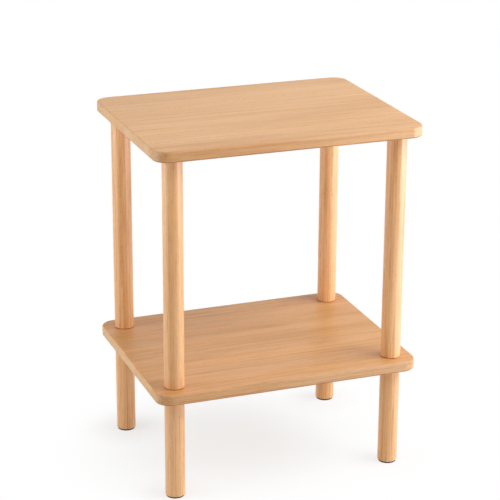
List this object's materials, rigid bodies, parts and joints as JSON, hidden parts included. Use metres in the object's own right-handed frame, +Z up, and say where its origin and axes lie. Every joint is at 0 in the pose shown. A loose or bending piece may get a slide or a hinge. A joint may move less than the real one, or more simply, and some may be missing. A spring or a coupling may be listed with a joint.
{
  "type": "end table with shelf",
  "caption": "Rectangular oak end table: rounded top board and matching low shelf on straight round legs that unscrew at the shelf, with felt foot pads.",
  "frame": {"origin": "on the floor, under the middle of the top board", "axes": "+Z up, +X along the boards' length to the right, -Y towards the front"},
  "size_m": [0.455, 0.35, 0.6],
  "materials": {
    "board_oak": "satin clear lacquer",
    "leg_oak": "satin clear lacquer",
    "zinc_steel": "zinc plated",
    "felt": "pressed felt"
  },
  "bodies": {
    "root": {"top_board": "board_oak", "shelf_board": "board_oak", "upper_leg_front_left": "leg_oak", "upper_leg_front_right": "leg_oak", "upper_leg_rear_left": "leg_oak", "upper_leg_rear_right": "leg_oak", "lower_leg_front_left": "leg_oak", "lower_leg_front_right": "leg_oak", "lower_leg_rear_left": "leg_oak", "lower_leg_rear_right": "leg_oak", "foot_pad_front_left": "felt", "foot_pad_front_right": "felt", "foot_pad_rear_left": "felt", "foot_pad_rear_right": "felt", "top_insert_front_left": "zinc_steel", "top_insert_front_right": "zinc_steel", "top_insert_rear_left": "zinc_steel", "top_insert_rear_right": "zinc_steel", "leg_insert_front_left": "zinc_steel", "leg_insert_front_right": "zinc_steel", "leg_insert_rear_left": "zinc_steel", "leg_insert_rear_right": "zinc_steel", "top_bolt_front_left": "zinc_steel", "top_bolt_front_right": "zinc_steel", "top_bolt_rear_left": "zinc_steel", "top_bolt_rear_right": "zinc_steel", "shelf_bolt_front_left": "zinc_steel", "shelf_bolt_front_right": "zinc_steel", "shelf_bolt_rear_left": "zinc_steel", "shelf_bolt_rear_right": "zinc_steel"}
  },
  "joints": []
}
